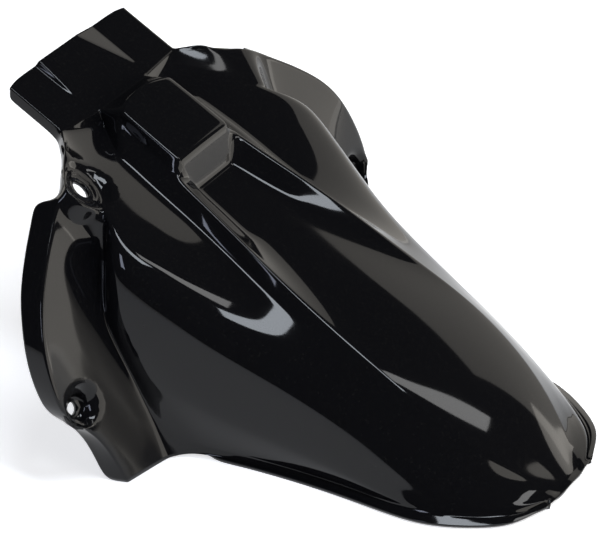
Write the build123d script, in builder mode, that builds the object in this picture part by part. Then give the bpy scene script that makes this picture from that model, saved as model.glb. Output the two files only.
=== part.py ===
from build123d import *
import math
import os

# Rear hugger mudguard: one thin moulding of glossy black plastic.
# X is across (right is +X), Y is along (the front tongue is +Y, the tail is -Y), Z is up.
# The part stands on its rim, at Z = 0. Every station is a distance behind the tongue's rear bend.
# Outer masses are joined, inner masses one wall smaller are taken out, and the shell is left.

WALL = 3.0
BEND_Y = 150.8            # Y of the tongue's rear bend
DECK_Z = 177.3            # height of the deck plane at the bend
DECK_SLOPE = 25.2         # the deck falls this much towards the tail, degrees

TONGUE_HALF = 61.0
TONGUE_LENGTH = 45.0
TONGUE_SKIRT = 9.0        # depth of the tongue's turned-down sides
TONGUE_CORNER = 7.0
TONGUE_LAP = 8.0          # the tongue runs this far past its bend, into the head
TONGUE_RISER = 22.0       # depth of the step from the tongue down to the valley floors
PAD_RISE = 4.0            # raised pad on the tongue
PAD_LEFT = -31.0
PAD_RIGHT = 12.0
PAD_RAMP_END = 31.0
PAD_LENGTH = 34.0

BOX_START = 5.0           # station where the box leaves the deck
BOX_FRONT = 19.0          # station of the box's front edge
BOX_LIP = 66.0            # station of the scoop's lip
BOX_RISE = 14.0           # height of the box top above the deck
BOX_CROWN = 2.0
BOX_TOP_HALF = 26.5
BOX_SIDE_HALF = 31.5      # half width at the foot of the box's chamfer
BOX_CHAMFER = 8.0         # drop of that chamfer
BOX_START_RISE = 0.5      # the box's front ramp begins this high above the deck
BOX_START_HALF = 24.0
BOX_START_FOOT = 29.0
BOX_START_CHAMFER = 2.0
SCOOP_RUN = 9.0           # length of the riser below the lip
SCOOP_DROP = 6.0          # the riser's foot lies this much under the deck
SCOOP_NARROWING = 7.0     # and is this much narrower on each side than the lip
SCOOP_CHAMFER = 4.0
BOX_FOOT_Z = 110.0        # the box's sides reach down to here, inside the body

PLATE_FOOT = 116.0        # station where the wing plates meet the table
PLATE_LEAN = 0.5          # the plates lean forward this much for each unit of height
LIP_DEPTH = 15.0          # depth of the lip turned forward round the wings
PLATE_TWIST = 0.2         # the plates' lower corners sweep forward this much for each unit outward
PLATE_KINK_Z = 110.0      # height at which that sweep has faded out
PLATE_TOP_LEAN = 0.56     # lean of the plates above that height
PLATE_TWIST_HALF = 116.0  # the sweep starts at this half width
SLAB_HALF = 190.0         # the slab the wings are cut from reaches past them
SLAB_BOTTOM = -40.0
SLAB_TOP = 190.0

HEAD_REACH = 18.0         # the head's side walls start this far in front of the wings' lip
HEAD_DEPTH = 60.0
HEAD_RISE = 0.24          # the valley floor rises this much for each unit outward
HEAD_FALL = 0.588         # and falls this much for each unit to the rear

UPPER_HOLE_RADIUS = 6.5
UPPER_SEAT_RADIUS = 19.0
UPPER_MOUTH_RADIUS = 24.0
UPPER_MOUTH_REACH = 30.0
UPPER_BOSS_DEPTH = 14.0
UPPER_HALF = 86.5
UPPER_STATION = 35.5
UPPER_Z = 162.0
UPPER_AXIS = (-0.35, -0.57, 0.745)    # outward direction of the upper bolt on the right
LOWER_HOLE_RADIUS = 4.2
LOWER_CUP_RADIUS = 10.0
LOWER_MOUTH_RADIUS = 13.0
LOWER_DEPTH = 10.0
LOWER_MOUTH_DEPTH = 3.0
LOWER_HALF = 160.0
LOWER_Z = 56.0

RIM_FLANGE = 4.0          # width of the small flange round the body's rim
RIM_START = 106.0         # the flange starts inside the wings
FREE = 40.0               # an inner mass runs this far out of every side that stays open

# Feature lines of the body, each a list of (station, value), joined by straight runs
RAIL_HALF = [(20, 30.0), (66, 32.0), (234, 50.0), (263, 50.0), (295, 44.0), (318, 35.0), (341, 15.0)]
RAIL_TOP = [(20, 172.9), (230, 74.0), (263, 57.0), (295, 37.0), (318, 20.0), (333, 8.5), (341, 2.5)]
FLOOR_HALF = [(20, 18.0), (75, 19.0), (197, 38.0), (234, 44.0), (263, 42.0), (295, 34.0), (318, 25.0),
              (341, 9.0)]
FLOOR_TOP = [(20, 162.0), (75, 136.0), (100, 126.0), (135, 113.5), (165, 103.0), (197, 91.0), (230, 78.0),
             (263, 61.5), (295, 41.5), (318, 23.5), (333, 10.5), (341, 3.5)]
SHOULDER_LINE = [(20, 46.0), (135, 47.0), (165, 52.0), (197, 56.0), (230, 59.0), (263, 58.0), (295, 52.0),
                 (318, 43.0), (341, 19.0)]
SHOULDER_TOP = [(20, 163.9), (66, 143.0), (100, 126.2), (135, 109.0), (165, 99.0), (197, 84.0), (230, 68.0),
                (263, 50.0), (295, 30.5), (318, 15.5), (333, 6.5), (341, 2.0)]
DECK_EDGE_HALF = [(20, 84.0), (66, 96.0), (100, 94.0), (135, 84.0), (165, 77.0), (197, 72.0), (230, 69.0),
                  (263, 68.0), (295, 60.0), (318, 50.0), (341, 23.0)]
DECK_EDGE_TOP = [(20, 164.0), (66, 145.0), (100, 128.0), (135, 108.0), (165, 94.0), (197, 79.0), (230, 60.0),
                 (263, 39.0), (295, 22.0), (318, 11.0), (341, 1.8)]
FLANK_HALF = [(20, 108.0), (66, 110.0), (100, 107.0), (135, 100.0), (165, 93.0), (197, 87.0), (230, 81.5),
              (263, 79.0), (295, 70.0), (318, 57.0), (333, 42.0), (341, 25.0)]
FLANK_TOP = [(20, 140.0), (66, 124.0), (100, 103.0), (135, 83.0), (165, 68.0), (197, 54.0), (230, 37.0),
             (263, 20.0), (295, 10.0), (318, 5.0), (341, 1.2)]
RIM_HALF = [(20, 110.0), (66, 111.0), (116, 104.5), (160, 94.0), (193, 88.5), (234, 85.0), (263, 83.5),
            (281, 81.5), (300, 74.5), (318, 62.5), (333, 46.0), (341, 25.5)]
STATIONS = (20, 43, 66, 83, 100, 118, 135, 150, 165, 181, 197, 213, 230, 246, 263, 279, 295, 307, 318, 326, 333,
            341)

# Rim of the head from the tongue's corner out to the wing, as (station, X), and its back
HEAD_RIM = [(-4, 61.0), (0, 61.0), (6, 68.0), (13, 74.5), (20, 83.0), (28, 95.0), (36, 108.0)]
HEAD_BACK = [(40, 100.0), (46, 84.0), (46, 0)]

# Right half of the wings' front view, as (X, height), from the middle round to the foot
WING_OUTLINE = [
    (0, 150.0), (84.0, 152.0), (98.0, 164.0), (108.0, 162.0), (122.0, 152.0), (135.0, 142.5), (146.0, 133.0),
    (156.5, 123.0), (165.0, 111.5), (171.0, 98.0), (175.0, 83.0), (176.6, 67.0), (174.0, 52.0), (166.0, 42.0),
    (156.0, 36.5), (152.5, 19.0), (153.0, 0.0),
]

slope = math.radians(DECK_SLOPE)
lean = math.atan(PLATE_LEAN)
lip_run = LIP_DEPTH / math.cos(lean)
wall_run = WALL / math.cos(lean)
plate_normal = (0, -math.cos(lean), math.sin(lean))

# The deck plane: X across, local Y up the tongue, normal upward and to the rear
deck_plane = Plane(
    origin=(0, BEND_Y, DECK_Z), x_dir=(1, 0, 0), z_dir=(0, -math.sin(slope), math.cos(slope))
)
# The free front edge of the wings and the body lies in this plane
front_plane = Plane(origin=(0, BEND_Y - PLATE_FOOT + lip_run, 0), x_dir=(1, 0, 0), z_dir=plate_normal)


def along(line, station):
    """The value of a feature line at a station, on a smooth curve through its points."""
    slopes = [(b[1] - a[1]) / (b[0] - a[0]) for a, b in zip(line, line[1:])]
    k = 0
    while k < len(slopes) - 1 and station > line[k + 1][0]:
        k += 1
    (s0, v0), (s1, v1) = line[k], line[k + 1]
    start = (slopes[max(k - 1, 0)] + slopes[k]) / 2 * (s1 - s0)
    end = (slopes[k] + slopes[min(k + 1, len(slopes) - 1)]) / 2 * (s1 - s0)
    t = (station - s0) / (s1 - s0)
    return (
        v0 * (1 - 3 * t**2 + 2 * t**3) + v1 * (3 * t**2 - 2 * t**3)
        + start * (t - 2 * t**2 + t**3) + end * (t**3 - t**2)
    )


def deck(station):
    """Height of the deck plane at a station."""
    return DECK_Z - math.tan(slope) * station


def across(station):
    """The plane across the part at a station, with X to the right and Z up."""
    return Plane(origin=(0, BEND_Y - station, 0), x_dir=(1, 0, 0), z_dir=(0, -1, 0))


def mirrored(half):
    """A closed outline from its right half, top first."""
    return half + [(-x, z) for x, z in reversed(half) if x > 0]


def inset(points, amount):
    """A half outline moved inward by the wall, corner by corner."""
    if amount == 0:
        return points
    moved = [(points[0][0], points[0][1] - amount)]
    for i in range(1, len(points)):
        x, z = points[i]
        spans = [(points[i - 1], (x, z))]
        if i + 1 < len(points):
            spans.append(((x, z), points[i + 1]))
        nx = nz = 0
        for a, b in spans:
            length = math.hypot(b[0] - a[0], b[1] - a[1])
            nx += (b[1] - a[1]) / length / len(spans)
            nz -= (b[0] - a[0]) / length / len(spans)
        size = nx * nx + nz * nz
        moved.append((x + amount * nx / size, z + amount * nz / size))
    return moved


def body_half(station):
    """Right half of the body's outline across, from the middle down to the rim."""
    return [
        (0, along(FLOOR_TOP, station)),
        (along(FLOOR_HALF, station), along(FLOOR_TOP, station)),
        (along(RAIL_HALF, station), along(RAIL_TOP, station)),
        (along(SHOULDER_LINE, station), along(SHOULDER_TOP, station)),
        (along(DECK_EDGE_HALF, station), along(DECK_EDGE_TOP, station)),
        (along(FLANK_HALF, station), along(FLANK_TOP, station)),
        (along(RIM_HALF, station), 0),
    ]


def body_mass(wall):
    """The long body behind the wings' free edge."""
    stations = STATIONS if wall == 0 else STATIONS[:-1]
    with BuildPart() as mass:
        for station in stations:
            half = inset(body_half(station), wall)
            if wall > 0:
                half = half[:-1] + [(half[-1][0], -FREE)]
            with BuildSketch(across(station)):
                with BuildLine():
                    Polyline(*mirrored(half), close=True)
                make_face()
        loft(ruled=True)
        if wall == 0:
            split(bisect_by=front_plane, keep=Keep.TOP)
    return mass.part


def plate_station(x, z):
    """Station of the wing plate's rear face at a point of the front view."""
    low = min(z, PLATE_KINK_Z)
    twist = PLATE_TWIST * (1 - low / PLATE_KINK_Z) * max(0.0, abs(x) - PLATE_TWIST_HALF)
    return PLATE_FOOT - PLATE_LEAN * low - PLATE_TOP_LEAN * (z - low) - twist


def wing_slab(front, rear):
    """The slab between two offsets of the plate's rear face, each measured to the front."""
    heights = (SLAB_BOTTOM, PLATE_KINK_Z, SLAB_TOP)
    with BuildPart() as slab:
        for x in (-SLAB_HALF, -PLATE_TWIST_HALF, PLATE_TWIST_HALF, SLAB_HALF):
            back = [(BEND_Y - plate_station(x, z) + rear, z) for z in heights]
            fore = [(BEND_Y - plate_station(x, z) + front, z) for z in reversed(heights)]
            with BuildSketch(Plane.YZ.offset(x)):
                with BuildLine():
                    Polyline(*(back + fore), close=True)
                make_face()
        loft(ruled=True)
    return slab.part


def wing_mass(wall):
    """Both wings: the plates with the depth of their lips."""
    half = inset(WING_OUTLINE, wall)
    if wall > 0:
        half = half[:-1] + [(half[-1][0], -FREE / 2)]
    with BuildPart() as mass:
        if wall == 0:
            add(wing_slab(lip_run, 0))
        else:
            add(wing_slab(lip_run + FREE / 2, wall_run))
        with BuildSketch(Plane.XZ):
            with BuildLine():
                Polyline(*mirrored(half), close=True)
            make_face()
        extrude(amount=2 * SLAB_HALF, both=True, mode=Mode.INTERSECT)
    return mass.part


def tongue_mass(wall):
    """The tongue in front of the bend, with its turned-down sides and the riser behind it."""
    free = FREE if wall > 0 else 0
    lap = TONGUE_LAP - wall
    width = 2 * (TONGUE_HALF - wall)
    front = TONGUE_LENGTH + free
    with BuildPart() as mass:
        with BuildSketch(deck_plane.offset(-wall)):
            with Locations((0, (front - lap) / 2)):
                if wall == 0:
                    RectangleRounded(width, front + lap, TONGUE_CORNER)
                else:
                    Rectangle(width, front + lap)
        extrude(amount=-TONGUE_SKIRT - free)
        with BuildSketch(deck_plane.offset(-wall)):
            with Locations((0, (TONGUE_LAP + free - lap) / 2)):
                Rectangle(width, TONGUE_LAP + free + lap)
        extrude(amount=-TONGUE_RISER - free)
    return mass.part


def pad_mass(wall):
    """The raised pad on the tongue, whose top runs out before the bend."""
    free = FREE if wall > 0 else 0
    front = deck_plane.from_local_coords((0, TONGUE_LENGTH + free, -wall))
    fade = deck_plane.from_local_coords((0, TONGUE_LENGTH - PAD_LENGTH, -wall))
    top = Plane(origin=fade, z_dir=deck_plane.z_dir - deck_plane.y_dir * (PAD_RISE / PAD_LENGTH))
    with BuildPart() as mass:
        with BuildSketch(Plane(origin=front, x_dir=(1, 0, 0), z_dir=deck_plane.y_dir * -1)):
            with BuildLine():
                Polyline(
                    (PAD_LEFT + wall, -PAD_RISE), (PAD_LEFT + wall, PAD_RISE), (PAD_RIGHT, PAD_RISE),
                    (PAD_RAMP_END, 0), (PAD_RAMP_END, -PAD_RISE), close=True,
                )
            make_face()
        extrude(amount=PAD_LENGTH + free)
        split(bisect_by=top, keep=Keep.BOTTOM)
    return mass.part


def head_mass(wall):
    """The head, under its two valley floors that fall towards the box."""
    rim = [(x - wall, BEND_Y - s) for s, x in HEAD_RIM]
    outline = [(0, rim[0][1])] + rim + [(x, BEND_Y - s) for s, x in HEAD_BACK]
    floor = Plane(origin=(TONGUE_HALF, BEND_Y, DECK_Z), z_dir=(-HEAD_RISE, -HEAD_FALL, 1))
    bottom = DECK_Z - HEAD_DEPTH - (FREE if wall > 0 else 0)
    with BuildPart() as mass:
        with BuildSketch(Plane.XY.offset(bottom)):
            with BuildLine():
                Polyline(*outline, close=True)
            make_face()
        extrude(amount=2 * HEAD_DEPTH + FREE)
        split(bisect_by=floor.offset(-wall), keep=Keep.BOTTOM)
        if wall == 0:
            split(bisect_by=front_plane.offset(-HEAD_REACH), keep=Keep.TOP)
        else:
            add(wing_slab(wall_run, -SLAB_HALF), mode=Mode.SUBTRACT)
        mirror(about=Plane.YZ)
    return mass.part


def box_mass(wall):
    """The raised box with its front ramp and the scoop's riser."""
    scoop_top = BOX_TOP_HALF - SCOOP_NARROWING
    scoop_foot = BOX_SIDE_HALF - SCOOP_NARROWING
    with BuildPart() as mass:
        for station, rise, half_top, half_foot, chamfer in (
            (BOX_START, BOX_START_RISE, BOX_START_HALF, BOX_START_FOOT, BOX_START_CHAMFER),
            (BOX_FRONT, BOX_RISE, BOX_TOP_HALF, BOX_SIDE_HALF, BOX_CHAMFER),
            (BOX_LIP, BOX_RISE, BOX_TOP_HALF, BOX_SIDE_HALF, BOX_CHAMFER),
            (BOX_LIP + SCOOP_RUN, -SCOOP_DROP, scoop_top, scoop_foot, SCOOP_CHAMFER),
        ):
            top = deck(station) + rise
            half = [(0, top + BOX_CROWN), (half_top, top), (half_foot, top - chamfer), (half_foot, BOX_FOOT_Z)]
            with BuildSketch(across(station)):
                with BuildLine():
                    Polyline(*mirrored(inset(half, wall)), close=True)
                make_face()
        loft(ruled=True)
    return mass.part


def upper_plane(side):
    """The face of the upper bolt's seat, its normal pointing outward."""
    x, y, z = UPPER_AXIS
    origin = (side * UPPER_HALF, BEND_Y - UPPER_STATION, UPPER_Z)
    return Plane(origin=origin, z_dir=(side * x, y, z))


def lower_plane(side):
    """The wing plate's rear face at the lower bolt."""
    station = plate_station(LOWER_HALF, LOWER_Z)
    return Plane(origin=(side * LOWER_HALF, BEND_Y - station, LOWER_Z), z_dir=plate_normal)


def upper_bosses(wall):
    """The round bosses under the upper bolt seats, open below."""
    with BuildPart() as mass:
        for side in (-1, 1):
            with BuildSketch(upper_plane(side).offset(-wall)):
                Circle(UPPER_SEAT_RADIUS + WALL - wall)
            extrude(amount=-UPPER_BOSS_DEPTH - (FREE if wall > 0 else 0))
    return mass.part


def cups(wall):
    """The room over all four bolt seats, larger by the wall all round."""
    with BuildPart() as room:
        for side in (-1, 1):
            seat = upper_plane(side)
            with BuildSketch(seat.offset(-wall)):
                Circle(UPPER_SEAT_RADIUS + wall)
            with BuildSketch(seat.offset(UPPER_MOUTH_REACH)):
                Circle(UPPER_MOUTH_RADIUS + wall)
            loft()
            mouth = lower_plane(side)
            with BuildSketch(mouth.offset(-LOWER_MOUTH_DEPTH - wall)):
                Circle(LOWER_MOUTH_RADIUS + wall)
            extrude(amount=FREE)
            with BuildSketch(mouth.offset(-LOWER_DEPTH - wall)):
                Circle(LOWER_CUP_RADIUS + wall)
            extrude(amount=LOWER_DEPTH)
    return room.part


def flange():
    """The small flange round the body's rim, from wing to wing."""
    stations = [RIM_START] + [s for s, x in RIM_HALF if s > RIM_START]
    side = [(along(RIM_HALF, s) + RIM_FLANGE, BEND_Y - s) for s in stations]
    tail = side[-1]
    with BuildPart() as mass:
        with BuildSketch():
            with BuildLine():
                right = Spline(*side)
                ThreePointArc(tail, (0, tail[1] - RIM_FLANGE), (-tail[0], tail[1]))
                left = Spline(*[(-x, y) for x, y in reversed(side)])
                Line(left @ 1, right @ 0)
            make_face()
        extrude(amount=WALL)
    return mass.part


def whole(wall):
    """Every mass joined, smaller by the wall."""
    with BuildPart() as joined:
        add(body_mass(wall))
        add(wing_mass(wall))
        add(tongue_mass(wall))
        add(pad_mass(wall))
        add(head_mass(wall))
        add(box_mass(wall))
        add(upper_bosses(wall))
        if wall == 0:
            add(flange())
        add(cups(wall), mode=Mode.SUBTRACT)
    return joined.part


outer = whole(0)
inner = whole(WALL)
with BuildPart() as guard:
    add(outer)
    add(inner, mode=Mode.SUBTRACT)
    split(bisect_by=Plane.XY, keep=Keep.TOP)
    # Only the left upper seat is drilled
    with BuildSketch(upper_plane(-1).offset(-2 * WALL)):
        Circle(UPPER_HOLE_RADIUS)
    extrude(amount=3 * WALL, mode=Mode.SUBTRACT)
    for side in (-1, 1):
        with BuildSketch(lower_plane(side).offset(-LOWER_DEPTH - 2 * WALL)):
            Circle(LOWER_HOLE_RADIUS)
        extrude(amount=3 * WALL, mode=Mode.SUBTRACT)
print("solids", len(guard.part.solids()), "volume", round(guard.part.volume), guard.part.bounding_box())

os.makedirs("parts", exist_ok=True)
guard.part.label = "hugger_mudguard"
export_step(guard.part, "parts/hugger_mudguard.step")
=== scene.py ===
import bpy
import bmesh
import math
from mathutils import Matrix, Vector


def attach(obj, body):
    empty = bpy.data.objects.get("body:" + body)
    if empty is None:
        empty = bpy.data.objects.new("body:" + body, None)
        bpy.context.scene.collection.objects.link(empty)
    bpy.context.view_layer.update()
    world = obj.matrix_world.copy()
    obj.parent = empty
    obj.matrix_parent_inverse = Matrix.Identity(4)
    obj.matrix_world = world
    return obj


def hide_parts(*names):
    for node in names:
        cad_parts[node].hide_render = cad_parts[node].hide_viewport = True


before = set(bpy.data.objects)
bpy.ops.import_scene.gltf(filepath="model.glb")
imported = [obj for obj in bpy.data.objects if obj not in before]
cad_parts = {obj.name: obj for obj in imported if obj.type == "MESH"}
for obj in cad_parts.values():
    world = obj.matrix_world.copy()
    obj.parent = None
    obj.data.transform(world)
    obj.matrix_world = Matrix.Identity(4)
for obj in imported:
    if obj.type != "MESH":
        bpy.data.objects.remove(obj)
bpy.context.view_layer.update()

# Rear hugger mudguard. Points are (X, station, height) in millimetres, where a station is the
# distance behind the tongue's rear bend, as in the CAD source.
BEND_Y = 150.8
WALL = 3.0
SUBDIVISIONS = 3
FACES_KEPT = 0.62        # share of the wall's faces left when its inside is made coarser
DRILL_LENGTH = 34.0
LOWEST = 0.0002          # metres; nothing lies lower over the floor

# The deck's plane, which the tongue and the box's top follow
DECK_Z = 177.3
DECK_SLOPE = math.radians(25.2)
DECK_TAN = math.tan(DECK_SLOPE)

# The wing plate's rear face: its foot, its lean below and above the knee, and its twist
PLATE_FOOT = 116.0
PLATE_INNER = 116.0
PLATE_KNEE = 110.0
PLATE_LEAN = 0.5
PLATE_UPPER_LEAN = 0.56
PLATE_TWIST = 0.2


def place(x, s, z):
    """A point of the guard in the frame, in metres."""
    return Vector((x, BEND_Y - s, z)) / 1000.0


def deck(s):
    """Height of the deck plane at a station."""
    return DECK_Z - DECK_TAN * s


def plate_station(x, z):
    """Station of the wing plate's rear face at a point of the front view."""
    low = min(z, PLATE_KNEE)
    twist = PLATE_TWIST * (1 - low / PLATE_KNEE) * max(0.0, x - PLATE_INNER)
    return PLATE_FOOT - PLATE_LEAN * low - PLATE_UPPER_LEAN * (z - low) - twist


def key_of(point):
    """A point rounded to a micrometre, so that neighbours share it."""
    return tuple(round(v, 3) for v in point)


def follow(line, s):
    """X and height of a lengthwise line at a station, on a smooth curve through its points."""
    k = 0
    while k < len(line) - 2 and s > line[k + 1][0]:
        k += 1

    def slope(i, c):
        return (line[i + 1][c] - line[i][c]) / (line[i + 1][0] - line[i][0])

    result = []
    span = line[k + 1][0] - line[k][0]
    t = (s - line[k][0]) / span
    for c in (1, 2):
        before = slope(max(k - 1, 0), c)
        here = slope(k, c)
        after = slope(min(k + 1, len(line) - 2), c)
        a = (before + here) / 2 * span
        b = (here + after) / 2 * span
        v0, v1 = line[k][c], line[k + 1][c]
        result.append(
            v0 * (1 - 3 * t**2 + 2 * t**3) + v1 * (3 * t**2 - 2 * t**3)
            + a * (t - 2 * t**2 + t**3) + b * (t**3 - t**2)
        )
    return result


# Lengthwise lines of the body, each a list of (station, X, height)
FLOOR_C = [
    (75, 0, 136.0), (100, 0, 126.2), (135, 0, 114.2), (165, 0, 104.5), (197, 0, 93.8),
    (230, 0, 82.0), (263, 0, 66.5), (295, 0, 46.0), (318, 0, 27.0), (333, 0, 12.5), (341, 0, 4.6),
]
FLOOR_E = [
    (75, 19, 136.0), (100, 22, 126.0), (135, 28, 113.5), (165, 33, 103.0), (197, 38, 91.0),
    (230, 43, 77.5), (263, 42, 60.5), (295, 34, 40.5), (318, 24, 22.5), (333, 14, 9.8),
    (341, 9, 3.5),
]
RAIL = [
    (16, 24.5, 169.8), (30, 28, 167.5), (66, 32, 152.3), (83, 34, 144.5), (125, 40.4, 125.5),
    (154, 43.7, 111.5), (192, 46, 93.5), (230, 49, 76.0), (263, 48, 58.0), (295, 41, 38.0),
    (318, 31, 20.5), (333, 20, 8.8), (341, 14, 3.4),
]
SHOULDER = [
    (30.5, 43.5, 158.6), (66, 46.0, 142.6), (100, 46.3, 126.2), (135, 49.0, 110.5),
    (165, 54.0, 99.5), (197, 56.0, 86.0), (230, 58.0, 69.5), (263, 57.0, 51.0),
    (295, 49.5, 31.2), (318, 38, 16.5), (333, 26, 8.0), (341, 18, 4.5),
]
LEAF = [
    (34.5, 72, 159.8), (66, 73, 145.2), (100, 70, 128.0), (135, 67.0, 107.8), (165, 67, 94.0),
    (197, 66.5, 79.8), (230, 65.8, 62.8), (263, 63.8, 44.0), (295, 55.5, 26.5), (318, 43, 14.2),
    (333, 31, 7.3), (341, 20.5, 4.5),
]
EDGE = [
    (55, 91, 151.0), (66, 97, 146.5), (100, 94.5, 126.5), (135, 86, 103.0), (165, 81.0, 87.0),
    (197, 77.0, 71.5), (230, 73.8, 54.5), (263, 70.8, 36.5), (295, 62.0, 20.8),
    (318, 48.8, 11.5), (333, 36, 6.6), (341, 22.3, 4.4),
]
UPPER = [
    (56, 93.5, 130.0), (68, 109, 135.0), (85, 108.5, 126.0), (100, 105.5, 114.5),
    (135, 97.0, 91.0), (165, 89.0, 75.0), (197, 83.5, 60.0), (230, 79.0, 43.5),
    (263, 75.6, 27.5), (295, 67.2, 15.6), (318, 53.8, 9.2), (333, 40.5, 5.8), (341, 24, 4.4),
]
MIDDLE = [
    (61, 103, 110.0), (73, 117, 108.0), (85, 115.8, 101.0), (100, 112.0, 91.5),
    (135, 101.5, 74.0), (165, 93.0, 60.0), (197, 86.5, 47.5), (230, 82.0, 32.5),
    (263, 78.5, 19.0), (295, 70.5, 10.0), (318, 57.5, 5.9), (333, 43.8, 3.8), (341, 25.4, 2.8),
]
LOWER = [
    (70.5, 116.5, 91.0), (85, 117.5, 74.0), (100, 114.5, 60.0), (135, 105.5, 44.0),
    (165, 96.5, 32.0), (197, 89.5, 24.0), (230, 85.0, 17.0), (263, 81.5, 10.5),
    (295, 73.3, 6.4), (318, 60.0, 4.5), (333, 46.0, 3.4), (341, 26.2, 2.7),
]
RIM = [
    (101, 115, 30.0), (116, 110.5, 15.0), (135, 102.0, 8.5), (165, 93.0, 6.4), (197, 87.0, 5.6),
    (230, 83.4, 5.3), (263, 81.9, 5.2), (283, 79.8, 5.2), (303, 71.8, 5.0), (321, 59.8, 4.7),
    (334, 46.8, 4.5), (341, 26.5, 4.3),
]
HEM_Z = 3.1
HEM = [
    (116, 116, 0.6), (124, 109.0, 2.6), (140, 102.0, HEM_Z), (160, 98.0, HEM_Z),
    (194, 92.3, HEM_Z), (230, 88.8, HEM_Z), (263, 87.3, HEM_Z), (283, 85.2, HEM_Z),
    (303, 77.0, HEM_Z), (321, 65.0, HEM_Z), (336, 49.3, HEM_Z), (343, 28.5, HEM_Z),
]
SIDE_LINES = [SHOULDER, LEAF, EDGE, UPPER, MIDDLE, LOWER, RIM, HEM]
FIRST_SIDE = 4           # number of the shoulder's column

# Stations of the cage's rows; a side's rows start on the wing's crease and are square to the
# body from MERGE_ROW on
ROWS = [16, 32, 49, 66, 75, 88, 105, 125, 145, 165, 185, 207, 230, 250, 268, 285, 301, 315, 326,
        334, 341]
MERGE_ROW = 165

# The box's middle, its half way line and its top edge: (share of its half width, station of its
# front, crown). It takes up the first rows, widens a little, and goes on as the scoop's floor.
BOX_LINES = ((0.0, 16.6, 0.5), (0.5, 17.0, 0.4), (1.0, 22.0, 0.0))
BOX_ROWS = 4
BOX_RISE = 14.0
BOX_HALF = 25.6
BOX_WIDENING = 0.9
BOX_WIDENING_RUN = 20
RAIL_FRONT = (28.0, 21.0, 173.0)

# The tail's hem runs in a bow behind the last row
TAIL_HEM_STATION = 344.6
TAIL_HEM_BOW = 0.00225
TAIL_HEM_FLARE = 1.04


def body_columns():
    """Every lengthwise column of the right half, each a list of points from front to tail."""
    columns = []
    box_end = ROWS[BOX_ROWS - 1]
    for share, start, crown in BOX_LINES:
        points = []
        for i, row in enumerate(ROWS):
            if i < BOX_ROWS:
                s = start + (box_end - start) * (row - ROWS[0]) / (box_end - ROWS[0])
                width = BOX_HALF + BOX_WIDENING * min(1.0, (s - ROWS[0]) / BOX_WIDENING_RUN)
                points.append((share * width, s, deck(s) + BOX_RISE + crown))
            else:
                zc = follow(FLOOR_C, row)[1]
                xe, ze = follow(FLOOR_E, row)
                points.append((share * xe, row, zc + (ze - zc) * share**2))
        columns.append(points)
    rail = [(row, follow(RAIL, row)) for row in ROWS[1:]]
    columns.append([RAIL_FRONT] + [(x, row, z) for row, (x, z) in rail])
    for line in SIDE_LINES:
        start = line[0][0]
        points = []
        for row in ROWS:
            s = row
            if row < MERGE_ROW:
                share = (row - ROWS[0]) / (MERGE_ROW - ROWS[0])
                s = start + (MERGE_ROW - start) * share
            if line is HEM:
                s = start + (HEM[-1][0] - start) * ((s - start) / (ROWS[-1] - start))
            x, z = follow(line, s)
            points.append((round(x, 6), s, round(z, 6)))
        columns.append(points)
    return columns


def curve_between(four, t):
    """A point between the second and the third of four, on a smooth curve through all."""
    a, b, c, d = four
    return [
        (2 * b[m] + (c[m] - a[m]) * t + (2 * a[m] - 5 * b[m] + 4 * c[m] - d[m]) * t**2
         + (3 * b[m] - a[m] - 3 * c[m] + d[m]) * t**3) / 2
        for m in range(3)
    ]


def add_between(columns):
    """Columns between the side's own, so that every crease point of the wing starts one."""
    fade_rows = 3
    full = columns[:FIRST_SIDE + 2]
    at = 0
    for k in range(FIRST_SIDE + 2, len(columns)):
        neighbours = [columns[i] for i in (k - 2, k - 1, k, min(k + 1, len(columns) - 1))]
        starts = []
        while CREASES[at] != columns[k][0]:
            starts.append(CREASES[at])
            at += 1
        at += 1
        for j, start in enumerate(starts):
            t = (j + 1) / (len(starts) + 1)
            middles = [curve_between(four, t) for four in zip(*neighbours)]
            # The shift onto the crease point fades over the first rows
            shift = [start[m] - middles[0][m] for m in range(3)]
            points = []
            for i, middle in enumerate(middles):
                fade = max(0.0, 1 - i / fade_rows) ** 2
                points.append(tuple(middle[m] + shift[m] * fade for m in range(3)))
            full.append(points)
        full.append(columns[k])
    return full


# The wing: crease points against the body and the corner points of its outer edge, from the top
# down. An outer point with no station lies on the plate.
CREASES = [
    (81, 43.5, 155.5), (91, 55, 151), (92.5, 55.5, 140), (93.5, 56, 130), (96, 57, 119),
    (103, 61, 110), (112, 66, 99.5), (116.5, 70.5, 91), (116.5, 77.5, 77), (115.5, 85, 62),
    (115, 93, 46), (115, 97, 38), (115, 101, 30), (115.5, 108.5, 15), (116, 116, 0.6),
]
OUTERS = [
    (92, 24.5, 171.5), (103, 32.5, 166.5), (112, None, 160.0), (121, None, 152.5),
    (134, None, 143.0), (145.5, None, 133.3), (156.5, None, 123.0), (165, None, 111.3),
    (171, None, 98.0), (175, None, 82.0), (176, None, 67.0), (173.5, None, 53.0),
    (158.5, None, 38.0), (152.0, None, 19.0), (150.0, None, 0.6),
]
SEAT_ROWS = 2            # rows at the top that hold the upper seat and lie off the plate
PLATE_BLEND_ROWS = 3
SHARES = (0.36, 0.7)     # where the points between crease and edge lie

# The lip that turns forward round the plate: its depth, the shares of its depth and its width
# at its middle line, its limit in X, and how it widens near its foot. The smaller lip round the
# upper seat is given as steps from the edge.
LIP_DEPTH = 15.5
LIP_MIDDLE_DEPTH = 0.45
LIP_MIDDLE_WIDTH = 0.6
LIP_OUTER_X = 176.4
FLARE_Z = 30
FLARE = 4.0
SEAT_LIP = ((0.5, -1.6, -3.5), (1.0, -2.5, -7.0))


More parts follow.
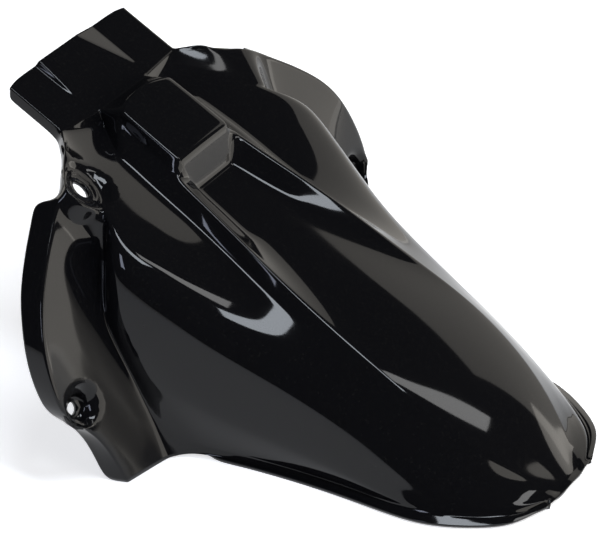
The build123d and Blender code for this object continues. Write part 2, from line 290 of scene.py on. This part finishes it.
def wing_rows():
    """Rows of wing points from the crease out to the free edge of the lip."""
    rows = []
    for k, (crease, outer) in enumerate(zip(CREASES, OUTERS)):
        x1, s1, z1 = outer
        if s1 is None:
            s1 = plate_station(x1, z1)
        row = [crease]
        for share in SHARES:
            x = crease[0] + (x1 - crease[0]) * share
            z = crease[2] + (z1 - crease[2]) * share
            s = crease[1] + (s1 - crease[1]) * share
            if k >= SEAT_ROWS:
                on_plate = min(1.0, (k - SEAT_ROWS + 1) / PLATE_BLEND_ROWS)
                s = s * (1 - on_plate) + plate_station(x, z) * on_plate
            row.append((x, s, z))
        row.append((x1, s1, z1))
        if k >= SEAT_ROWS:
            flare = 1.0 if z1 > FLARE_Z else 1.0 + FLARE * (FLARE_Z - z1) / FLARE_Z
            row.append((min(x1 + flare * LIP_MIDDLE_WIDTH, LIP_OUTER_X),
                        s1 - LIP_DEPTH * LIP_MIDDLE_DEPTH, z1))
            row.append((min(x1 + flare, LIP_OUTER_X), s1 - LIP_DEPTH, z1))
        else:
            row += [(x1 + dx, s1 + ds, z1 + dz) for dx, ds, dz in SEAT_LIP]
        rows.append(row)
    return rows


# The tongue's rear bend, from the middle out to its corner, and the riser's and the valley's
# points behind it
BEND = [
    (0, 3.6, 175.7), (12.8, 3.5, 175.75), (25.6, 3.2, 175.9), (32, 2.6, 176.1), (43, 1.8, 176.5),
    (53, 0.8, 176.9), (61, 0, 177.3),
]
BOX_RAMP = [(0, 10.2, 179.6), (12.8, 10.3, 179.6), (25.8, 12.5, 177.8)]
RISER_FOOT = [(26.5, 7.2, 166.8), (33, 5.8, 168.0), (43.5, 4.2, 171.0), (53.5, 2.6, 174.4)]
BOX_HEEL = (34.5, 18.0, 161.2)
VALLEY_RIM = [(61, 0, 177.3), (67.5, 6, 178.0), (73.5, 12, 178.0), (79.5, 17, 175.8)]
VALLEY_FLOOR = [(43.5, 16.0, 163.6), (53.5, 15.0, 166.5), (63.5, 13.5, 170.0)]
VALLEY_END = [(74.5, 29, 164.5), (77, 23, 170.0)]

# The valley's rim and the tongue's sides turn down in two steps from their edge
VALLEY_LIP = ((0.8, -1.5, -4.0), (1.2, -2.5, -8.0))
TONGUE_LIP = ((0.6, 0, -4.0), (0.9, 0, -8.0))
TONGUE_LENGTH = 42.0
TONGUE_STEPS = [0, 8.6, 17.4, 26, 34.6, TONGUE_LENGTH]
CORNER_PULLS = ((5, 0.2), (6, 2.0))      # how far a column's front end is drawn back


def moved(points, step):
    """A list of points moved by one step."""
    return [tuple(v + d for v, d in zip(point, step)) for point in points]


def tongue_columns(valley_lips):
    """The tongue's columns, which follow the bend's, with its turned-down side."""
    grid = []
    for x, s, z in BEND:
        column = []
        for t in TONGUE_STEPS:
            left = 1 - t / TONGUE_LENGTH
            run = s * left - t
            column.append((x, run, deck(run) + (z - deck(s)) * left))
        grid.append(column)
    for j, pull in CORNER_PULLS:
        x, s, z = grid[j][-1]
        grid[j][-1] = (x, s + pull, deck(s + pull))
    edge = grid[-1]
    for step, valley_lip in zip(TONGUE_LIP, valley_lips):
        grid.append([valley_lip[0]] + moved(edge, step)[1:])
    return grid


def build_cage():
    """The right half's faces, its creased edges and its lips' points, as point keys."""
    faces, creases = [], {}

    def quad(*points):
        faces.append([key_of(p) for p in points])

    def strips(lines):
        """Faces between each line of points and the next."""
        for first, second in zip(lines, lines[1:]):
            for i in range(len(first) - 1):
                quad(first[i], second[i], second[i + 1], first[i + 1])

    main = body_columns()
    columns = add_between(main)
    strips(columns)
    # The tail's last row runs down into its hem
    tail = [c[-1] for c in columns[:-1]]
    tail_hem = [
        (x * TAIL_HEM_FLARE, TAIL_HEM_STATION - TAIL_HEM_BOW * x**2, HEM_Z)
        for x, _, _ in tail[:-1]
    ]
    tail_hem.append(columns[-1][-1])
    for a, b, c, d in zip(tail, tail[1:], tail_hem[1:], tail_hem):
        quad(a, b, c, d)

    wing = wing_rows()
    strips(wing)

    # The riser behind the tongue, the box's front and its front corner
    bend, ramp, foot, heel = BEND, BOX_RAMP, RISER_FOOT, BOX_HEEL
    fronts = [c[0] for c in columns]
    for j in range(2):
        quad(bend[j], bend[j + 1], ramp[j + 1], ramp[j])
        quad(ramp[j], ramp[j + 1], fronts[j + 1], fronts[j])
    quad(bend[2], foot[0], heel, ramp[2])
    quad(ramp[2], heel, fronts[3], fronts[2])
    quad(heel, fronts[4], fronts[3])
    for j in range(3):
        quad(bend[j + 2], bend[j + 3], foot[j + 1], foot[j])
    quad(bend[5], bend[6], foot[3])

    # The valley's floor, out to its rim, and the lip that turns down from the rim
    rims, floor = VALLEY_RIM, VALLEY_FLOOR
    first = [fronts[5], *VALLEY_END, rims[3]]
    quad(foot[0], foot[1], floor[0], heel)
    quad(foot[1], foot[2], floor[1], floor[0])
    quad(foot[2], foot[3], floor[2], floor[1])
    quad(foot[3], rims[0], rims[1], floor[2])
    quad(heel, floor[0], fronts[4])
    quad(floor[0], floor[1], fronts[5], fronts[4])
    quad(floor[1], floor[2], first[1], fronts[5])
    quad(floor[2], rims[1], first[2], first[1])
    quad(rims[1], rims[2], rims[3], first[2])
    drop, hem = (moved(rims, step) for step in VALLEY_LIP)
    strips([first + [drop[3], hem[3]], wing[0]])
    for j in range(3):
        quad(rims[j], drop[j], drop[j + 1], rims[j + 1])
        quad(drop[j], hem[j], hem[j + 1], drop[j + 1])

    tongue = tongue_columns([drop, hem])
    for a, b in zip(tongue, tongue[1:]):
        for i in range(len(TONGUE_STEPS) - 1):
            quad(a[i + 1], b[i + 1], b[i], a[i])

    # A later line overrides an earlier one where they share an edge
    for line, sharpness in (
        (columns[3][:12], 0.78), (columns[3][11:], 0.6),
        (columns[2][:4], 0.5), (columns[2][3:5], 0.6), (columns[2][4:8], 0.4),
        (columns[4][:8], 0.62), (columns[4][7:11], 0.45),
        ([c[3] for c in columns[:4]], 0.85), ([c[4] for c in columns[:3]], 0.7),
        (fronts[:3], 0.55), ([bend[2], ramp[2], fronts[2]], 0.5),
        ([columns[2][0], columns[3][0]], 0.3), ([columns[2][3], columns[3][3]], 0.4),
        ([bend[2], foot[0], heel, fronts[4]], 0.5), (foot + [rims[0]], 0.4), (bend, 0.6),
        ([fronts[5]] + CREASES[:8], 0.4), (CREASES[7:], 0.35),
        ([row[3] for row in wing], 0.5), ([row[-1] for row in wing], 0.9),
        ([wing[1][3], wing[2][3]], 0.5), (rims, 0.55), (hem, 0.9), (tongue[6], 0.62),
        ([fronts[4], fronts[5]], 0.2), (columns[-1], 0.9), (main[-2], 0.45), (tail, 0.45),
    ):
        keys = [key_of(p) for p in line]
        for pair in zip(keys, keys[1:]):
            creases[frozenset(pair)] = sharpness

    lips = {key_of(p) for row in wing for p in row[4:]}
    lips |= {key_of(p) for line in (drop, hem, *tongue[-2:]) for p in line}
    return faces, creases, lips


def cage_mesh():
    """The whole cage as one mesh, mirrored across the middle, its weights 0 on the lips."""
    faces, creases, lips = build_cage()
    bm = bmesh.new()
    group = bm.verts.layers.deform.new()
    layer = bm.edges.layers.float.new("crease_edge")
    made = {}

    def vert(key, sign):
        full = (key[0] * sign, key[1], key[2])
        if full not in made:
            made[full] = bm.verts.new(place(*full))
            made[full][group][0] = 0.0 if key in lips else 1.0
        return made[full]

    for sign in (1, -1):
        for face in faces:
            verts = [vert(p, sign) for p in face]
            if sign < 0:
                verts.reverse()
            bm.faces.new(verts)
    for sign in (1, -1):
        for pair, value in creases.items():
            edge = bm.edges.get([vert(p, sign) for p in pair])
            if edge:
                edge[layer] = max(edge[layer], value)
    # The outside faces up at a point on top of the tail
    bmesh.ops.recalc_face_normals(bm, faces=bm.faces)
    on_top = place(5, 240, 74)
    tail_top = min(bm.faces, key=lambda f: (f.calc_center_median() - on_top).length)
    if tail_top.normal.z < 0:
        bmesh.ops.reverse_faces(bm, faces=bm.faces)
    mesh = bpy.data.meshes.new("hugger_cage")
    bm.to_mesh(mesh)
    bm.free()
    return mesh


def apply_modifiers(piece):
    """Replace a piece's mesh by what its modifiers make of it."""
    graph = bpy.context.evaluated_depsgraph_get()
    mesh = bpy.data.meshes.new_from_object(piece.evaluated_get(graph))
    piece.modifiers.clear()
    piece.data = mesh


def smooth(a, b, v):
    """A soft step from 0 at a to 1 at b."""
    t = min(1.0, max(0.0, (v - a) / (b - a)))
    return t * t * (3 - 2 * t)


def profile_at(profile, length):
    """The point of a turned profile at a length along it."""
    for (r0, d0), (r1, d1) in zip(profile, profile[1:]):
        step = math.hypot(r1 - r0, d1 - d0)
        if length <= step:
            t = length / step
            return r0 + (r1 - r0) * t, d0 + (d1 - d0) * t
        length -= step
    return profile[-1]


def skin_weight(vertex):
    """How far a point belongs to the skin itself, and not to a turned edge."""
    return smooth(0.45, 0.95, vertex.groups[0].weight) if vertex.groups else 0.0


PRESS_HEIGHT = 14.0      # points further from the seat's plane stay
PRESS_BLEND = 0.3        # share of the blend that lies within the profile


def press(mesh, centre, axis, profile, blend):
    """Press a turned profile (radius, depth) into the skin round an axis."""
    total = sum(math.hypot(b[0] - a[0], b[1] - a[1]) for a, b in zip(profile, profile[1:]))
    reach = profile[-1][0]
    for v in mesh.vertices:
        away = (v.co - centre) * 1000.0
        height = away.dot(axis)
        flat = away - axis * height
        r = flat.length
        if r >= reach + blend or abs(height) > PRESS_HEIGHT:
            continue
        if r <= reach:
            new_r, depth = profile_at(profile, total * r / reach)
        else:
            new_r, depth = r, 0.0
        target = centre + (flat.normalized() * new_r - axis * depth) / 1000.0
        share = (1 - smooth(reach - PRESS_BLEND * blend, reach + blend, r)) * skin_weight(v)
        v.co = v.co.lerp(target, share)


# The bolt seats on the right half: centre, axis, turned profile, blend into the skin and the
# hole's radius. Only the left side has the upper one.
LEAN = math.atan(PLATE_LEAN)
UPPER_SEAT = (
    place(86.5, 35.5, 162.0),
    Vector((-0.35, -0.57, 0.745)).normalized(),
    [(0, 2.2), (10.5, 2.2), (11.6, 1.2), (12.2, 1.0), (15.0, 1.0), (16.2, 0.3), (17.0, 0)],
    4.0, 6.5,
)
LOWER_SEAT = (
    place(160.0, plate_station(160.0, 56.0), 56.0),
    Vector((0, -math.cos(LEAN), math.sin(LEAN))),
    [(0, 9), (7.6, 9), (8.6, 8.0), (9.2, 3.8), (9.8, 2.9), (11.0, 2.6), (11.8, 1.6),
     (12.6, 0.4), (13.4, 0)],
    3.0, 4.2,
)
LEFT, RIGHT = -1, 1
SEATS = ((LEFT, UPPER_SEAT), (LEFT, LOWER_SEAT), (RIGHT, LOWER_SEAT))

# The pad: its rise along the tongue, its stepped left edge and its ramp on the right
PAD_REAR = 2.0
PAD_HALF = 58.0
PAD_BELOW = 2.0          # points further under the deck's plane stay
PAD_RISE = 3.3
PAD_RISE_START = 7.0
PAD_RISE_RUN = 33.0
PAD_LEFT = (-32.2, -29.8)
PAD_RAMP_FOOT = 28.0
PAD_RAMP_RUN = 18.5
PAD_RAMP_RISE = 3.5


def raise_pad(mesh):
    """Lift the tongue's pad out of the skin."""
    normal = Vector((0, -math.sin(DECK_SLOPE), math.cos(DECK_SLOPE)))
    for v in mesh.vertices:
        x = v.co.x * 1000.0
        s = BEND_Y - v.co.y * 1000.0
        z = v.co.z * 1000.0
        if s > PAD_REAR or abs(x) > PAD_HALF or z < deck(s) - PAD_BELOW:
            continue
        rise = PAD_RISE * min(1.0, max(0.0, (-s - PAD_RISE_START) / PAD_RISE_RUN))
        ramp = min(1.0, max(0.0, (PAD_RAMP_FOOT - x) / PAD_RAMP_RUN))
        v.co += normal * (min(rise * smooth(*PAD_LEFT, x), PAD_RAMP_RISE * ramp) / 1000.0)


def make_skin():
    """The guard's skin, from its cage, with its pad and its seats."""
    guard = bpy.data.objects.new("hugger_skin", cage_mesh())
    bpy.context.scene.collection.objects.link(guard)
    sub = guard.modifiers.new("Subdivision", "SUBSURF")
    sub.levels = sub.render_levels = SUBDIVISIONS
    apply_modifiers(guard)
    raise_pad(guard.data)
    for side, (centre, axis, profile, blend, _) in SEATS:
        flip = Vector((side, 1, 1))
        press(guard.data, centre * flip, axis * flip, profile, blend)
    return guard


def thicken(guard):
    """Give the skin its wall, inwards, with a coarser inside."""
    # The skin's own weights are the first group
    guard.vertex_groups.new(name="skin")
    guard.vertex_groups.new(name="inner")
    wall = guard.modifiers.new("Wall", "SOLIDIFY")
    wall.thickness = WALL / 1000.0
    wall.offset = -1.0
    wall.use_even_offset = False
    wall.use_rim = True
    wall.shell_vertex_group = "inner"
    apply_modifiers(guard)
    coarser = guard.modifiers.new("Coarser inside", "DECIMATE")
    coarser.vertex_group = "inner"
    coarser.ratio = FACES_KEPT
    apply_modifiers(guard)


def drill(guard, centre, axis, radius):
    """Cut a round hole through the wall."""
    bpy.ops.mesh.primitive_cylinder_add(
        vertices=64, radius=radius / 1000.0, depth=DRILL_LENGTH / 1000.0, location=centre,
        rotation=axis.to_track_quat("Z", "Y").to_euler(),
    )
    bit = bpy.context.object
    cut = guard.modifiers.new("Drill", "BOOLEAN")
    cut.operation = "DIFFERENCE"
    cut.object = bit
    cut.solver = "EXACT"
    apply_modifiers(guard)
    bpy.data.objects.remove(bit)


guard = make_skin()
thicken(guard)
for side, (centre, axis, _, _, radius) in SEATS:
    flip = Vector((side, 1, 1))
    drill(guard, centre * flip, axis * flip, radius)

# Nothing reaches under the floor that the guard stands on
for vertex in guard.data.vertices:
    vertex.co.z = max(vertex.co.z, LOWEST)
for polygon in guard.data.polygons:
    polygon.use_smooth = True

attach(guard, "root")
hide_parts("hugger_mudguard")


def node(tree, kind, **values):
    """A shader node with its unlinked inputs set."""
    made = tree.nodes.new(kind)
    for key, value in values.items():
        made.inputs[key.replace("_", " ")].default_value = value
    return made


def gloss_black():
    """Glossy black moulded plastic: a faint flow in its gloss and a little fine dust."""
    material = bpy.data.materials.new("gloss_black_plastic")
    material.use_nodes = True
    tree = material.node_tree
    tree.nodes.clear()
    link = tree.links.new
    out = node(tree, "ShaderNodeOutputMaterial")
    shader = node(tree, "ShaderNodeBsdfPrincipled", IOR=1.32)
    link(shader.outputs[0], out.inputs[0])
    where = node(tree, "ShaderNodeTexCoord")
    flow = node(tree, "ShaderNodeTexNoise", Scale=9.0, Detail=2.0, Roughness=0.4)
    dust = node(tree, "ShaderNodeTexNoise", Scale=650.0, Detail=3.0, Roughness=0.6)
    peel = node(tree, "ShaderNodeTexNoise", Scale=55.0, Detail=1.0, Roughness=0.3)
    for texture in (flow, dust, peel):
        link(where.outputs["Object"], texture.inputs["Vector"])
    rough = node(tree, "ShaderNodeMapRange", From_Min=0.3, From_Max=0.7, To_Min=0.035,
                 To_Max=0.085)
    link(flow.outputs["Fac"], rough.inputs["Value"])
    link(rough.outputs["Result"], shader.inputs["Roughness"])
    ramp = node(tree, "ShaderNodeValToRGB")
    clean, dusty = ramp.color_ramp.elements
    clean.position, clean.color = 0.55, (0.0035, 0.0035, 0.0042, 1)
    dusty.position, dusty.color = 0.8, (0.009, 0.0088, 0.0085, 1)
    link(dust.outputs["Fac"], ramp.inputs["Fac"])
    link(ramp.outputs["Color"], shader.inputs["Base Color"])
    bump = node(tree, "ShaderNodeBump", Strength=0.05, Distance=0.0004)
    link(peel.outputs["Fac"], bump.inputs["Height"])
    link(bump.outputs["Normal"], shader.inputs["Normal"])
    return material


guard.data.materials.clear()
guard.data.materials.append(gloss_black())

# The stage: a pale floor that glows a little, so that it shows white, and a dim world
FLOOR_GREY = 0.93
FLOOR_GLOW = 0.64
WORLD_GREY = 0.5
WORLD_STRENGTH = 0.08


def floor_material():
    """A plain pale matte stage material."""
    material = bpy.data.materials.new("floor_pale")
    material.use_nodes = True
    inputs = material.node_tree.nodes["Principled BSDF"].inputs
    colour = (FLOOR_GREY, FLOOR_GREY, FLOOR_GREY, 1)
    inputs["Base Color"].default_value = colour
    inputs["Roughness"].default_value = 0.9
    inputs["Specular IOR Level"].default_value = 0.1
    inputs["Emission Color"].default_value = colour
    inputs["Emission Strength"].default_value = FLOOR_GLOW
    return material


bpy.ops.mesh.primitive_plane_add(size=6.0, location=(0, 0, 0))
floor = bpy.context.object
floor.name = "studio_floor"
floor.data.materials.append(floor_material())

world = bpy.data.worlds.new("studio")
bpy.context.scene.world = world
world.use_nodes = True
background = world.node_tree.nodes["Background"].inputs
background["Color"].default_value = (WORLD_GREY, WORLD_GREY, WORLD_GREY, 1)
background["Strength"].default_value = WORLD_STRENGTH

# Soft rectangular lamps: name, place, the point faced, width, height, power and colour. A lamp's
# radiance is its power / (pi * its area).
MIDDLE_POINT = (0, 0.05, 0.1)
WARM = (1.0, 0.955, 0.88)
COOL = (0.86, 0.92, 1.0)
WHITE = (1, 1, 1)
BLUE = (0.74, 0.8, 1.0)
LAMPS = (
    ("right_wall", (1.6, -0.15, 0.81), (0, -0.15, 0.81), 1.7, 1.58, 12.0, WARM),
    ("rear_wall", (0.2, -1.7, 0.52), (0.2, 0, 0.52), 1.4, 1.0, 13.0, WARM),
    ("corner_wall", (1.25, -1.3, 0.31), (0, 0, 0.31), 1.2, 0.6, 7.0, WARM),
    ("front_wall", (0.4, 1.7, 0.35), MIDDLE_POINT, 1.6, 0.5, 4.0, WARM),
    ("over_strip", (0.0, -0.4, 1.9), MIDDLE_POINT, 0.34, 1.1, 18.0, COOL),
    ("rear_top", (0.66, -1.08, 1.67), MIDDLE_POINT, 0.26, 0.9, 5.0, WHITE),
    ("left_strip", (-1.5, -0.1, 1.15), MIDDLE_POINT, 0.26, 1.0, 8.0, BLUE),
)
for name, middle, aim, width, height, power, colour in LAMPS:
    lamp = bpy.data.lights.new(name, "AREA")
    lamp.shape = "RECTANGLE"
    lamp.size = width
    lamp.size_y = height
    lamp.energy = power
    lamp.color = colour
    piece = bpy.data.objects.new(name, lamp)
    bpy.context.scene.collection.objects.link(piece)
    piece.location = middle
    piece.rotation_euler = (Vector(middle) - Vector(aim)).to_track_quat("Z", "Y").to_euler()

# The photograph's camera, fitted to matching points on the guard's two halves
LENS = 167.76
SENSOR = 36.0
CAMERA_PLACE = (-1.22529, -0.95359 + BEND_Y / 1000.0, 1.12446)
AZIMUTH, ELEVATION, ROLL = (math.radians(v) for v in (-56.42, 35.11, -0.29))
cam_data = bpy.data.cameras.new("camera")
cam_data.sensor_width = SENSOR
cam_data.lens = LENS
cam_data.clip_end = 50.0
cam = bpy.data.objects.new("camera", cam_data)
bpy.context.scene.collection.objects.link(cam)
back = Vector((
    math.sin(AZIMUTH) * math.cos(ELEVATION),
    -math.cos(AZIMUTH) * math.cos(ELEVATION),
    math.sin(ELEVATION),
))
level = Vector((0, 0, 1)).cross(back).normalized()
rise = back.cross(level)
right = level * math.cos(ROLL) + rise * math.sin(ROLL)
up = rise * math.cos(ROLL) - level * math.sin(ROLL)
cam.location = CAMERA_PLACE
cam.rotation_euler = Matrix((right, up, back)).transposed().to_euler()
bpy.context.scene.camera = cam
bpy.context.scene.view_settings.view_transform = "Standard"
